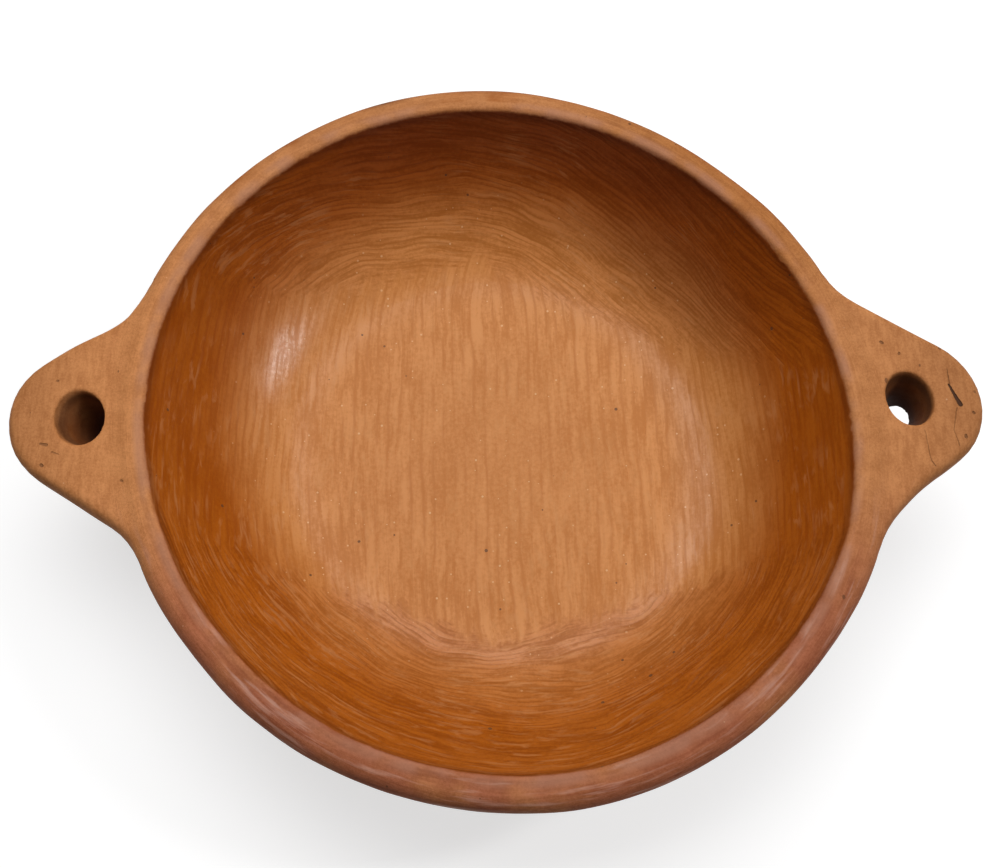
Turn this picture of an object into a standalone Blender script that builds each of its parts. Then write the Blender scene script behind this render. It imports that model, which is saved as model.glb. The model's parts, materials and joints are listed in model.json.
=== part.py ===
"""Open terracotta cooking dish: a floor slab, three wall coils, a rim coil and two pierced lugs.

Every piece is turned or lofted round, seated on its neighbour with the luting clearance, and then
pressed slightly oval as a hand-built dish is. Units are metres, +Z is up, and the dish stands on Z = 0.
"""
import math

import bmesh
import bpy
import numpy as np
from mathutils import Matrix, Vector

# Bowl
MOUTH_RADIUS = 0.125        # axis to the inner edge of the rim
HEIGHT = 0.062              # table to the top of the rim
FLOOR = 0.011               # thickness of the floor slab
FLOOR_RADIUS = 0.060        # flat part of the floor
WALL = 0.0105               # thickness of the wall at the mouth
WALL_SWEEP = 2.4            # power by which the wall sweeps up from the floor to the mouth

# Coils
SLAB_EDGE = 0.016           # turned-up edge of the floor slab, measured up the inside
RIM_COIL = 0.013            # rim coil, measured down the inside
WALL_COILS = ("lower_wall_coil", "middle_wall_coil", "upper_wall_coil")
SCARF = 0.006               # how much lower each seam lies outside than inside
CLEARANCE = 0.0003          # luting gap between touching pieces

# Rim
RIM_WIDTH = 0.0108          # inner edge to the outside of the rim
RIM_ROUND = 0.0057          # rounding of the outer edge, carried on round the lugs
RIM_EDGE = 0.002            # rounding of the inner edge

# Lugs
LUG_LENGTH = 0.0375         # outside of the rim to the tip
LUG_DROP = 0.0004           # rim top to lug top
LUG_TIP_RADIUS = 0.0262     # round end, seen from above
LUG_FLARE = math.radians(34.7)          # each flank to the middle line
LUG_FILLET = 0.030          # hollow where a flank runs into the rim
LUG_SEAT = 0.0043           # how deep the lug is let into the rim
LUG_EDGE = 0.0045           # rounding of the upper edge
LUG_SIDE = 0.0065           # depth at which the sides turn under
LUG_SETBACK = 0.009         # how far the sides draw in below
LUG_TIP_THICKNESS = 0.013
LUG_ROOT_THICKNESS = 0.025  # on the middle line, at the outside of the rim

# Finger holes
HOLE_INSET = 0.0007         # middle of the lug's round end to the middle of the hole
HOLE_TOP_RADIUS = 0.0087    # along the lug
HOLE_END_RADIUS = 0.0043    # where the finger came out underneath
HOLE_STRETCH = 1.2          # how much wider the hole is across the lug
HOLE_EDGE = 0.0005          # softened upper edge
LEFT_HOLE_SLANT = math.radians(18.0)    # lower end leaning in towards the bowl
RIGHT_HOLE_SLANT = math.radians(0.0)

# Oval that the hands leave
OVAL = 0.0036               # how far the mouth is drawn out, and pressed in across that
OVAL_BEARING = math.radians(125.2)

# Colours and roughness of the fired clay
FLOOR_COLOUR = (0.45, 0.19, 0.055)
SLIP_COLOUR = (0.40, 0.145, 0.030)
RIM_COLOUR = (0.44, 0.185, 0.10)
LUG_COLOUR = (0.46, 0.20, 0.095)
BURNISHED = 0.42
BARE = 0.78

# Fineness
ROUND_STEPS = 72
COIL_STEPS = 4
HEEL_STEPS = 5
SEAT_STEPS = 18
EDGE_STEPS = 3
ROUND_EDGE_STEPS = 6
TIP_STEPS = 6               # each half of a lug's round end
FILLET_STEPS = 4
UNDER_STEPS = 4
HOLE_STEPS = 24
LENGTH_SAMPLES = 600
SHARP_ANGLE = math.radians(35.0)
MERGE = 0.000001

# Worked out from the sizes above
RIM_RADIUS = MOUTH_RADIUS + RIM_WIDTH
SEAT_RADIUS = RIM_RADIUS - LUG_SEAT
MID_WALL_RADIUS = (FLOOR_RADIUS + MOUTH_RADIUS) / 2.0
LUG_TOP = HEIGHT - LUG_DROP
LUG_REACH = RIM_RADIUS + LUG_LENGTH
LUG_SLOPE = (LUG_ROOT_THICKNESS - LUG_TIP_THICKNESS) / (LUG_LENGTH - LUG_SETBACK)
HOLE_REACH = LUG_REACH - LUG_TIP_RADIUS - HOLE_INSET
# Length to add along the wall so that a slanted seam opens by the clearance
SEAM_GAP = CLEARANCE * math.hypot(1.0, SCARF / WALL)
PAST = HEIGHT / 2.0         # how far cutters run past what they cut


def swept_share(radius):
    """How far a radius lies from the edge of the flat floor to the mouth, from 0 to 1."""
    return max(radius - FLOOR_RADIUS, 0.0) / (MOUTH_RADIUS - FLOOR_RADIUS)


def inner_height(radius):
    return FLOOR + (HEIGHT - FLOOR) * swept_share(radius) ** WALL_SWEEP


def inner_slope(radius):
    """Angle of the inside wall above level."""
    rise = (HEIGHT - FLOOR) * WALL_SWEEP / (MOUTH_RADIUS - FLOOR_RADIUS)
    return math.atan(rise * swept_share(radius) ** (WALL_SWEEP - 1.0))


SAMPLE_RADII = np.linspace(FLOOR_RADIUS, MOUTH_RADIUS, LENGTH_SAMPLES)
SAMPLE_HEIGHTS = np.array([inner_height(radius) for radius in SAMPLE_RADII])
SAMPLE_LENGTHS = np.concatenate(
    ([0.0], np.cumsum(np.hypot(np.diff(SAMPLE_RADII), np.diff(SAMPLE_HEIGHTS)))))
WALL_LENGTH = float(SAMPLE_LENGTHS[-1])


def inner_point(length):
    """Radius and height at a length up the inside wall from the edge of the flat floor."""
    radius = float(np.interp(length, SAMPLE_LENGTHS, SAMPLE_RADII))
    return radius, inner_height(radius)


def outer_point(length, extra=0.0):
    """The point across the wall from inner_point, with extra thickness where asked."""
    radius, height = inner_point(length)
    slope = inner_slope(radius)
    thickness = FLOOR + (WALL - FLOOR) * swept_share(radius) + extra
    return radius + thickness * math.sin(slope), height - thickness * math.cos(slope)


def spread(start, end, steps):
    return [float(value) for value in np.linspace(start, end, steps + 1)]


def arc(centre, radius, start, end, steps):
    return [(centre[0] + radius * math.cos(angle), centre[1] + radius * math.sin(angle))
            for angle in spread(start, end, steps)]


def seam_lengths():
    """Lengths up the inside wall of the four seams, from the slab's edge to the rim coil."""
    return spread(SLAB_EDGE, WALL_LENGTH - RIM_COIL, len(WALL_COILS))


def slab_section(seam):
    under = [outer_point(length) for length in spread(0.0, seam - SCARF, HEEL_STEPS)]
    inside = [inner_point(length) for length in spread(seam, 0.0, HEEL_STEPS)]
    return [(0.0, 0.0)] + under + inside + [(0.0, FLOOR)]


def coil_section(bottom, top):
    start = bottom + SEAM_GAP
    inside = [inner_point(length) for length in spread(start, top, COIL_STEPS)]
    outside = [outer_point(length) for length in spread(top - SCARF, start - SCARF, COIL_STEPS)]
    return inside + outside


def lip_outside(foot):
    """Outer edge of the rim from its flat top, round and down to the tangent towards its foot."""
    centre = (RIM_RADIUS - RIM_ROUND, HEIGHT - RIM_ROUND)
    across = foot[0] - centre[0]
    down = foot[1] - centre[1]
    tangent = math.atan2(down, across) + math.acos(RIM_ROUND / math.hypot(across, down))
    return arc(centre, RIM_ROUND, math.pi / 2.0, tangent, ROUND_EDGE_STEPS)


def rim_section(bottom):
    start = bottom + SEAM_GAP
    slope = inner_slope(MOUTH_RADIUS)
    trim = RIM_EDGE * math.tan(slope / 2.0)
    inside = [inner_point(length) for length in spread(start, WALL_LENGTH - trim, COIL_STEPS)]
    edge_centre = (MOUTH_RADIUS + trim, HEIGHT - RIM_EDGE)
    edge = arc(edge_centre, RIM_EDGE, math.pi / 2.0 + slope, math.pi / 2.0, EDGE_STEPS)
    foot = outer_point(start - SCARF)
    return inside + edge[1:] + lip_outside(foot) + [foot]


def seat_section(rim_seam):
    """Everything that a lug bears on, with the clearance: the outside wall and the rim's notch."""
    wall = [outer_point(length, CLEARANCE) for length in spread(0.0, rim_seam - SCARF, SEAT_STEPS)]
    foot = wall[-1]
    lip = lip_outside(foot)[-1]
    share = (SEAT_RADIUS + CLEARANCE - foot[0]) / (lip[0] - foot[0])
    seat_foot = (SEAT_RADIUS + CLEARANCE, foot[1] + share * (lip[1] - foot[1]))
    seat_top = (SEAT_RADIUS + CLEARANCE, HEIGHT + PAST)
    return [(0.0, -PAST), (FLOOR_RADIUS, -PAST)] + wall + [seat_foot, seat_top, (0.0, HEIGHT + PAST)]


def material(name, colour, roughness):
    made = bpy.data.materials.new(name)
    made.use_nodes = True
    shader = made.node_tree.nodes["Principled BSDF"]
    shader.inputs["Base Color"].default_value = (*colour, 1.0)
    shader.inputs["Roughness"].default_value = roughness
    shader.inputs["Metallic"].default_value = 0.0
    return made


def add_object(name, form):
    """Turn a bmesh into an object of the scene."""
    bmesh.ops.recalc_face_normals(form, faces=form.faces)
    mesh = bpy.data.meshes.new(name)
    form.to_mesh(mesh)
    form.free()
    made = bpy.data.objects.new(name, mesh)
    bpy.context.scene.collection.objects.link(made)
    return made


def turn(name, section, steps, closed):
    """Spin a section of radius and height points about Z. A closed section gives a ring."""
    form = bmesh.new()
    points = [form.verts.new((radius, 0.0, height)) for radius, height in section]
    pairs = list(zip(points, points[1:]))
    if closed:
        pairs.append((points[-1], points[0]))
    edges = [form.edges.new(pair) for pair in pairs]
    bmesh.ops.spin(form, geom=points + edges, cent=(0, 0, 0), axis=(0, 0, 1),
                   angle=2.0 * math.pi, steps=steps, use_merge=True)
    bmesh.ops.remove_doubles(form, verts=form.verts, dist=MERGE)
    return add_object(name, form)


def lug_half():
    """One side of a lug seen from above: tip arc, flank, hollow into the rim, and the end's bearing."""
    tip_centre = (LUG_REACH - LUG_TIP_RADIUS, 0.0)
    tip = arc(tip_centre, LUG_TIP_RADIUS, 0.0, math.pi / 2.0 - LUG_FLARE, TIP_STEPS)
    # The hollow touches the flank, whose outward normal this is, and the outside of the rim
    normal = Vector((math.sin(LUG_FLARE), math.cos(LUG_FLARE)))
    along = Vector((math.cos(LUG_FLARE), -math.sin(LUG_FLARE)))
    offset = tip_centre[0] * normal.x + LUG_TIP_RADIUS + LUG_FILLET
    back = math.sqrt((RIM_RADIUS + LUG_FILLET) ** 2 - offset ** 2)
    centre = offset * normal + back * along
    start = math.atan2(-normal.y, -normal.x)
    end = math.atan2(-centre.y, -centre.x)
    hollow = arc(centre, LUG_FILLET, start, end, FILLET_STEPS)
    return tip + hollow, math.atan2(centre.y, centre.x)


def lug_outline():
    """Whole outline, run in from each end on the rim to close above the middle of the wall."""
    half, bearing = lug_half()
    root = (MID_WALL_RADIUS * math.cos(bearing), MID_WALL_RADIUS * math.sin(bearing))
    other_half = [(x, -y) for x, y in reversed(half[1:])]
    return [(root[0], -root[1])] + other_half + half + [root]


def lug_side():
    """Side of a lug from the edge of its top to its underside, as pairs of setback and depth."""
    upper = [(LUG_EDGE * (1.0 - math.sin(angle)), LUG_EDGE * (1.0 - math.cos(angle)))
             for angle in spread(0.0, math.pi / 2.0, EDGE_STEPS)]
    turn_under = LUG_TIP_THICKNESS - LUG_SIDE
    lower = [(LUG_SETBACK * (1.0 - math.cos(angle)), LUG_SIDE + turn_under * math.sin(angle))
             for angle in spread(0.0, math.pi / 2.0, UNDER_STEPS)]
    return upper + lower


def lug_thickness(x, share=0.0):
    """Thickness at x, where share runs from 0 on the middle line to 1 at the sides."""
    keel = LUG_SLOPE * (LUG_REACH - LUG_SETBACK - x)
    return LUG_TIP_THICKNESS + keel * (1.0 - share ** 2)


def lug_form(name):
    """Lug on +X, lofted from its top down the sides and across its keeled underside."""
    form = bmesh.new()
    loops = []
    for setback, depth in lug_side():
        kept = [(x, y, 1.0 - setback / math.hypot(x, y)) for x, y in lug_outline()]
        loops.append([form.verts.new((x * keep, y * keep, LUG_TOP - depth)) for x, y, keep in kept])
    sides = [vert.co.copy() for vert in loops[-1]]
    for share in spread(1.0, 0.0, UNDER_STEPS)[1:]:
        loops.append([form.verts.new((side.x, side.y * share, LUG_TOP - lug_thickness(side.x, share)))
                      for side in sides])
    form.faces.new(loops[0])
    for above, below in zip(loops, loops[1:]):
        for index in range(len(above)):
            form.faces.new((above[index - 1], below[index - 1], below[index], above[index]))
    bmesh.ops.remove_doubles(form, verts=form.verts, dist=MERGE)
    bmesh.ops.dissolve_degenerate(form, edges=form.edges, dist=MERGE)
    return add_object(name, form)


def notch_form(name):
    """Wedge on +X that lets a lug into the rim, outside the seat and between the lug's ends."""
    bearing = lug_half()[1] + CLEARANCE / SEAT_RADIUS
    reach = LUG_REACH / math.cos(bearing)
    corners = [(0.0, 0.0), (reach * math.cos(bearing), -reach * math.sin(bearing)),
               (reach * math.cos(bearing), reach * math.sin(bearing))]
    form = bmesh.new()
    wedge = form.faces.new([form.verts.new((x, y, 0.0)) for x, y in corners])
    raised = bmesh.ops.extrude_face_region(form, geom=[wedge], use_keep_orig=True)["geom"]
    bmesh.ops.translate(form, vec=(0.0, 0.0, HEIGHT + PAST),
                        verts=[item for item in raised if isinstance(item, bmesh.types.BMVert)])
    notch = add_object(name, form)
    above = HEIGHT + PAST + PAST
    core_section = [(0.0, -PAST), (SEAT_RADIUS, -PAST), (SEAT_RADIUS, above), (0.0, above)]
    cut(notch, turn("core", core_section, ROUND_STEPS, closed=False), "DIFFERENCE")
    return notch


def hole_form(name, slant):
    """Tapered finger hole on +X with a softened upper edge, its lower end leaning towards the bowl."""
    depth = lug_thickness(HOLE_REACH)
    taper = (HOLE_TOP_RADIUS - HOLE_END_RADIUS) / depth
    edge = arc((HOLE_TOP_RADIUS + HOLE_EDGE, -HOLE_EDGE), HOLE_EDGE, math.pi / 2.0, math.pi, EDGE_STEPS)
    end = -depth - HOLE_TOP_RADIUS
    end_radius = HOLE_END_RADIUS - taper * HOLE_TOP_RADIUS
    section = [(0.0, PAST), (HOLE_TOP_RADIUS + HOLE_EDGE, PAST)] + edge + [(end_radius, end), (0.0, end)]
    hole = turn(name, section, HOLE_STEPS, closed=False)
    lean = Matrix.Rotation(slant, 4, "Y")
    widen = Matrix.Diagonal((1.0, HOLE_STRETCH, 1.0, 1.0))
    hole.data.transform(Matrix.Translation((HOLE_REACH, 0.0, LUG_TOP)) @ lean @ widen)
    return hole


def cut(target, tool, operation):
    """Apply one Boolean to the target and remove the tool."""
    boolean = target.modifiers.new(operation.lower(), "BOOLEAN")
    boolean.operation = operation
    boolean.solver = "EXACT"
    boolean.object = tool
    view = bpy.context.evaluated_depsgraph_get()
    result = bpy.data.meshes.new_from_object(target.evaluated_get(view))
    target.modifiers.clear()
    target.data = result
    bpy.data.objects.remove(tool)


def make_lug(name, rim_seam, slant):
    lug = lug_form(name)
    cut(lug, turn("seat", seat_section(rim_seam), ROUND_STEPS, closed=False), "DIFFERENCE")
    cut(lug, hole_form("hole", slant), "DIFFERENCE")
    return lug


def make_rim(rim_seam, bearings):
    rim = turn("rim_coil", rim_section(rim_seam), ROUND_STEPS, closed=True)
    for bearing in bearings:
        notch = notch_form("notch")
        notch.data.transform(Matrix.Rotation(bearing, 4, "Z"))
        cut(rim, notch, "DIFFERENCE")
    return rim


def press_oval(piece):
    """Draw the piece out along the oval's bearing and in across it."""
    for vert in piece.data.vertices:
        bearing = math.atan2(vert.co.y, vert.co.x)
        stretch = 1.0 + OVAL / MOUTH_RADIUS * math.cos(2.0 * (bearing - OVAL_BEARING))
        vert.co.x *= stretch
        vert.co.y *= stretch


def finish(piece, look, parent):
    press_oval(piece)
    piece.data.shade_smooth()
    piece.data.set_sharp_from_angle(angle=SHARP_ANGLE)
    piece.data.materials.clear()
    piece.data.materials.append(look)
    piece.parent = parent


def build():
    for old in list(bpy.data.objects):
        bpy.data.objects.remove(old)
    seams = seam_lengths()
    dish = bpy.data.objects.new("dish", None)
    bpy.context.scene.collection.objects.link(dish)

    slab = turn("floor_slab", slab_section(seams[0]), ROUND_STEPS, closed=False)
    finish(slab, material("burnished_floor", FLOOR_COLOUR, BURNISHED), dish)
    for name, bottom, top in zip(WALL_COILS, seams, seams[1:]):
        coil = turn(name, coil_section(bottom, top), ROUND_STEPS, closed=True)
        finish(coil, material(name + "_slip", SLIP_COLOUR, BURNISHED), dish)

    finish(make_rim(seams[-1], (0.0, math.pi)), material("rim_clay", RIM_COLOUR, BARE), dish)
    for name, slant, bearing in (("right_lug", RIGHT_HOLE_SLANT, 0.0),
                                 ("left_lug", LEFT_HOLE_SLANT, math.pi)):
        lug = make_lug(name, seams[-1], slant)
        lug.data.transform(Matrix.Rotation(bearing, 4, "Z"))
        finish(lug, material(name + "_clay", LUG_COLOUR, BARE), dish)


build()
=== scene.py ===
"""Burnished terracotta dish with two pierced lugs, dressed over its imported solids, on a plain white stage."""
import json
import math

import bpy
import numpy as np
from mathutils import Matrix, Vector

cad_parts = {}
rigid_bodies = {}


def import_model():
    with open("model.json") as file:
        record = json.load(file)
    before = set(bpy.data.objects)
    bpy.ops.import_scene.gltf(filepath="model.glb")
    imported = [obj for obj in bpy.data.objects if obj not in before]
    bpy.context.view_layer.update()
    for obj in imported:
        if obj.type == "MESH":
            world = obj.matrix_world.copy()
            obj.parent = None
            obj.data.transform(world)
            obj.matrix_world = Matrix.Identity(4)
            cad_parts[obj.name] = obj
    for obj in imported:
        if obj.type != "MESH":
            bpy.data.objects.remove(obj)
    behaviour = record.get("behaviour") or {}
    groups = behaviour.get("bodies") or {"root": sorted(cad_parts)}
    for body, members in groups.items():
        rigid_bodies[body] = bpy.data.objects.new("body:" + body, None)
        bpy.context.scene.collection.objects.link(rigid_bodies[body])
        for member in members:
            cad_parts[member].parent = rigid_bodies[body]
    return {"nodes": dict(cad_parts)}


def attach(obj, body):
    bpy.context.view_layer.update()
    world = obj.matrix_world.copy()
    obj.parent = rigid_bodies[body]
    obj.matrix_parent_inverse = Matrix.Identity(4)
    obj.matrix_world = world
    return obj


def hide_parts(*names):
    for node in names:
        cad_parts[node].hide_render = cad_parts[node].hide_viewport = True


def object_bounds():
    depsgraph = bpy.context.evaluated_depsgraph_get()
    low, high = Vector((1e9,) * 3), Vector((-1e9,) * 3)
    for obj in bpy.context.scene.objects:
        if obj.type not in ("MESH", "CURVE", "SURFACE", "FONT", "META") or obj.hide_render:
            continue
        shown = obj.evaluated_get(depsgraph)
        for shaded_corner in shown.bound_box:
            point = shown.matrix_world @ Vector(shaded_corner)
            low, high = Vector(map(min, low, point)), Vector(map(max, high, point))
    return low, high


bl_info = {
    "name": "Terracotta dish",
    "version": (1, 0, 0),
    "blender": (4, 5, 0),
    "location": "View3D > Sidebar > Dish",
    "description": "Models a hand-built burnished dish over its solids and sets it on a plain stage",
    "category": "Object",
}

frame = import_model()
CAD_LOW, CAD_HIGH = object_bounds()

WALL_COILS = ("lower_wall_coil", "middle_wall_coil", "upper_wall_coil")
LUGS = (("right_lug", 0.0), ("left_lug", math.pi))
MM = 0.001
MERGE = 0.000001
SMOOTH_ANGLE = math.radians(40.0)
# Steps along and round the turned sections
LENGTH_SAMPLES = 800        # up the inside wall, to measure it
AROUND = 288                # round the whole dish
FLOOR_STEPS = 40
UNDER_STEPS = 30
SEAM_STEPS = 4
EDGE_STEPS = 8
FLAT_STEPS = 5
LIP_STEPS = 16
SEAT_STEPS = 40
LUG_MARGIN = 8              # steps by which the stretch behind a lug is wider than its seat
# Straight ends of the lengthwise burnishing strokes: bearing in degrees and distance from the axis
STROKE_SIDES = ((62.0, 0.073), (106.0, 0.085), (-108.0, 0.0686), (-77.0, 0.0687))
# Soft lumps that the hands leave: the direction that they push in and their scale
HAND_LUMPS = (("X", 0.037), ("Y", 0.043))
# How far the hands pressed the lip out or in: bearing in degrees, and millimetres
LIP_PRESS = ((-180.0, 0.0), (-142.0, -0.5), (-121.0, -0.6), (-105.0, -1.0), (-90.0, -1.4), (-75.0, -1.1),
             (-60.0, -1.5), (-46.0, -1.7), (-37.0, -0.8), (-29.0, 0.7), (-21.0, 1.9), (-13.0, 0.4), (0.0, 0.0),
             (20.0, 0.0), (35.0, 0.3), (47.0, -1.2), (66.0, -1.0), (90.0, -0.1), (105.0, -0.7), (125.0, -1.8),
             (140.0, -1.6), (154.0, -1.0), (168.0, 0.0))
LIP_SOFTENING = 17          # degrees over which the presses run into each other
MOUTH_SHARE = 0.45          # how much of a press reaches the inner edge of the lip
PRESS_HELD = 0.004          # how far beyond the lip a press holds
PRESS_GONE = 0.018          # how far beyond the lip a press has died out
TIP_DRAWN_IN = 0.0003       # how far the lugs' tips stay inside their solids
# Where a thumb pressed a lug's flank in: the place, the spread and the push, in millimetres
FLANK_PRESS = ((-138.0, 40.0, 13.0, 1.2, -2.1), (141.0, -27.0, 10.0, -0.9, 1.5))
# Marks on the tops of the lugs: both ends, the half width at each end and the depth, in millimetres
LUG_MARKS = (
    (159.4, 4.7, 162.2, -3.0, 0.30, 0.75, 0.9),
    (159.7, 10.7, 159.7, 4.9, 0.12, 0.22, 0.25),
    (160.8, -4.3, 158.4, -12.5, 0.16, 0.10, 0.2),
    (158.4, -12.5, 159.6, -18.5, 0.10, 0.16, 0.2),
    (148.4, -12.3, 148.8, -23.4, 0.10, 0.16, 0.2),
    (148.8, -23.4, 150.1, -25.6, 0.16, 0.20, 0.25),
    (166.3, -6.0, 166.6, -6.3, 0.45, 0.45, 0.4),
    (162.3, -14.5, 162.3, -15.2, 0.40, 0.55, 0.4),
    (168.2, 2.0, 168.3, 1.6, 0.40, 0.35, 0.3),
    (137.9, 21.9, 138.2, 21.5, 0.50, 0.50, 0.4),
    (143.7, 17.4, 143.6, 17.0, 0.45, 0.45, 0.3),
    (-154.2, 14.1, -154.1, 14.0, 0.40, 0.40, 0.3),
    (-153.2, -12.9, -150.9, -13.8, 0.35, 0.20, 0.15),
    (-157.7, -9.7, -155.6, -10.2, 0.40, 0.55, 0.3),
    (-156.5, -17.5, -156.1, -17.9, 0.50, 0.50, 0.4),
    (-128.6, -23.9, -128.2, -24.1, 0.40, 0.40, 0.3),
)
FLANK_START = 0.002         # how far inside the lip a thumb's press begins
SEAT_DEEPER = 0.008         # share by which a lug's seated side is let into the wall before it is luted
LUTING_PASSES = 4           # smoothing of a luted lug

# Finish: the outputs of a surface, the sockets of a mix (both inputs and the result) and constant values
FINISH = ("Color", "Roughness", "Relief", "Gloss")
MIX_SOCKETS = {"FLOAT": (2, 3, 0), "VECTOR": (4, 5, 1), "RGBA": (6, 7, 2)}
COAT_ROUGHNESS = 0.24
SPECULAR_LEVEL = 0.17
# Burnishing strokes
STROKES_PER_METRE = 380.0
STROKE_APART = 7.31         # how far apart two neighbouring strokes lie in their noise
FLOOR_STROKES = 0.62        # rate of the floor's strokes against the wall's
MEAN_TONE = 0.37
WALL_COURSE_RADIUS = 0.11
RIM_COURSE_RADIUS = 0.13
LEAST_RADIUS = 0.01
TINY_SQUARE = 1e-9
# Tints that darken or lighten the slip and the clay
FLOOR_DARK = (0.87, 0.79, 0.64)
WALL_DARK = (0.78, 0.71, 0.55)
FLOOR_LIGHT = (1.10, 1.15, 1.26)
WALL_LIGHT = (1.15, 1.20, 1.40)
# Painted shade for the far wall and the corner on its right
FAR_WALL_SHADE = (0.55, 0.44, 0.32)
CLAY_DARK = (0.80, 0.74, 0.66)
CLAY_LIGHT = (1.12, 1.17, 1.24)
# Painted light on the clay's left side and painted shade on its far right
CLAY_LEFT_PAINTED_LIGHT = (1.16, 1.16, 1.16)
CLAY_FAR_RIGHT_PAINTED_SHADE = (0.83, 0.77, 0.62)
CLAY_TIP = (0.76, 0.75, 0.73)
CLAY_SMEAR = (0.77, 0.66, 0.62)
SCRAPED = (0.72, 0.64, 0.55)
LIP_SHADE = (0.62, 0.55, 0.50)
HOLE_SHADE = (0.075, 0.028, 0.006)
# Colours of grit, pits, streaks and marks
SLIP_GRIT = (0.78, 0.50, 0.25)
SLIP_PIT = (0.10, 0.045, 0.02)
CLAY_STREAK = (0.60, 0.32, 0.23)
CLAY_GRIT = (0.70, 0.42, 0.24)
CLAY_PIT = (0.13, 0.05, 0.02)
OUTSIDE_PIT = (0.08, 0.035, 0.015)
# Rubbed inner edge of the lip with a painted highlight along it
LIP_RUBBED_AND_SHEEN = (0.45, 0.215, 0.135)
MARK_DARK = (0.045, 0.016, 0.007)

# Stage: the floor, the lamps (direction, distance, width, length and power) and the photo's camera
WHITE = (1.0, 1.0, 1.0)
STAGE_SIZE = 6.0
STAGE_GREY = (0.50, 0.50, 0.50)
STAGE_GLOW = (0.4, 1.8, 0.66, 0.97)     # from a distance to another one, and the glow at each
WORLD_LIGHT = 0.10
SOFTBOXES = (
    ("back_softbox", (-0.06, 0.42, 0.90), 1.3, 1.3, 0.95, 14.6),
    ("right_softbox", (0.746, 0.04, 0.66), 1.1, 0.11, 0.24, 3.3),
)
CAMERA_PLACE = (-0.0032, -0.1721, 0.4629)
CAMERA_TARGET = (0.0009, -0.0102, 0.062)
CAMERA_LENS = 45.05
CAMERA_SENSOR = 36.0
CAMERA_CLIP = 0.01


class DishSizes(bpy.types.PropertyGroup):
    """Sizes of the dish that its pieces are modelled from."""
    mouth_radius: bpy.props.FloatProperty(
        name="Mouth radius", description="Axis to the inner edge of the rim", default=0.125, unit="LENGTH")
    height: bpy.props.FloatProperty(
        name="Height", description="Table to the top of the rim", default=CAD_HIGH.z, unit="LENGTH")
    floor: bpy.props.FloatProperty(
        name="Floor", description="Thickness of the floor", default=0.011, unit="LENGTH")
    floor_radius: bpy.props.FloatProperty(
        name="Floor radius", description="Flat part of the floor", default=0.060, unit="LENGTH")
    wall: bpy.props.FloatProperty(
        name="Wall", description="Thickness of the wall at the mouth", default=0.0105, unit="LENGTH")
    wall_sweep: bpy.props.FloatProperty(
        name="Wall sweep", description="Power by which the wall sweeps up to the mouth", default=2.4)
    slab_edge: bpy.props.FloatProperty(
        name="Slab edge", description="Turned-up edge of the floor slab", default=0.016, unit="LENGTH")
    rim_coil: bpy.props.FloatProperty(
        name="Rim coil", description="Rim coil measured down the inside", default=0.013, unit="LENGTH")
    scarf: bpy.props.FloatProperty(
        name="Scarf", description="How much lower a seam lies outside", default=0.006, unit="LENGTH")
    rim_width: bpy.props.FloatProperty(
        name="Rim width", description="Inner edge to the outside of the rim", default=0.0108, unit="LENGTH")
    rim_round: bpy.props.FloatProperty(
        name="Rim rounding", description="Rounding of the rim's outer edge", default=0.0057, unit="LENGTH")
    rim_edge: bpy.props.FloatProperty(
        name="Rim edge", description="Rounding of the rim's inner edge", default=0.002, unit="LENGTH")
    lug_seat: bpy.props.FloatProperty(
        name="Lug seat", description="How deep a lug is let into the rim", default=0.0043, unit="LENGTH")
    lug_spread: bpy.props.FloatProperty(
        name="Lug spread", description="Half of the part of the rim that a lug takes up",
        default=math.radians(24.0), subtype="ANGLE")
    lug_grain: bpy.props.FloatProperty(
        name="Lug grain", description="Fineness of the modelled lug surface", default=0.0006, unit="LENGTH")
    lug_top: bpy.props.FloatProperty(
        name="Lug top", description="Height of the lugs' flat tops", default=0.0616, unit="LENGTH")
    hole_reach: bpy.props.FloatProperty(
        name="Hole reach", description="Axis to the middle of a finger hole", default=0.145, unit="LENGTH")
    hole_radius: bpy.props.FloatProperty(
        name="Hole radius", description="Finger hole at its top, along the lug", default=0.0087, unit="LENGTH")
    hole_taper: bpy.props.FloatProperty(
        name="Hole taper", description="How fast a finger hole narrows with depth", default=0.215)
    hole_stretch: bpy.props.FloatProperty(
        name="Hole stretch", description="How much wider a finger hole is across the lug", default=1.2)
    left_lean: bpy.props.FloatProperty(
        name="Left hole lean", description="How the left hole leans towards the bowl with depth", default=0.322)
    oval: bpy.props.FloatProperty(
        name="Oval", description="How far the mouth is drawn out of round", default=0.0036, unit="LENGTH")
    oval_bearing: bpy.props.FloatProperty(
        name="Oval bearing", description="Direction the mouth is drawn out in",
        default=math.radians(125.2), subtype="ANGLE")
    unevenness: bpy.props.FloatProperty(
        name="Unevenness", description="How much the hands left the form uneven", default=0.0011, unit="LENGTH")


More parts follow.
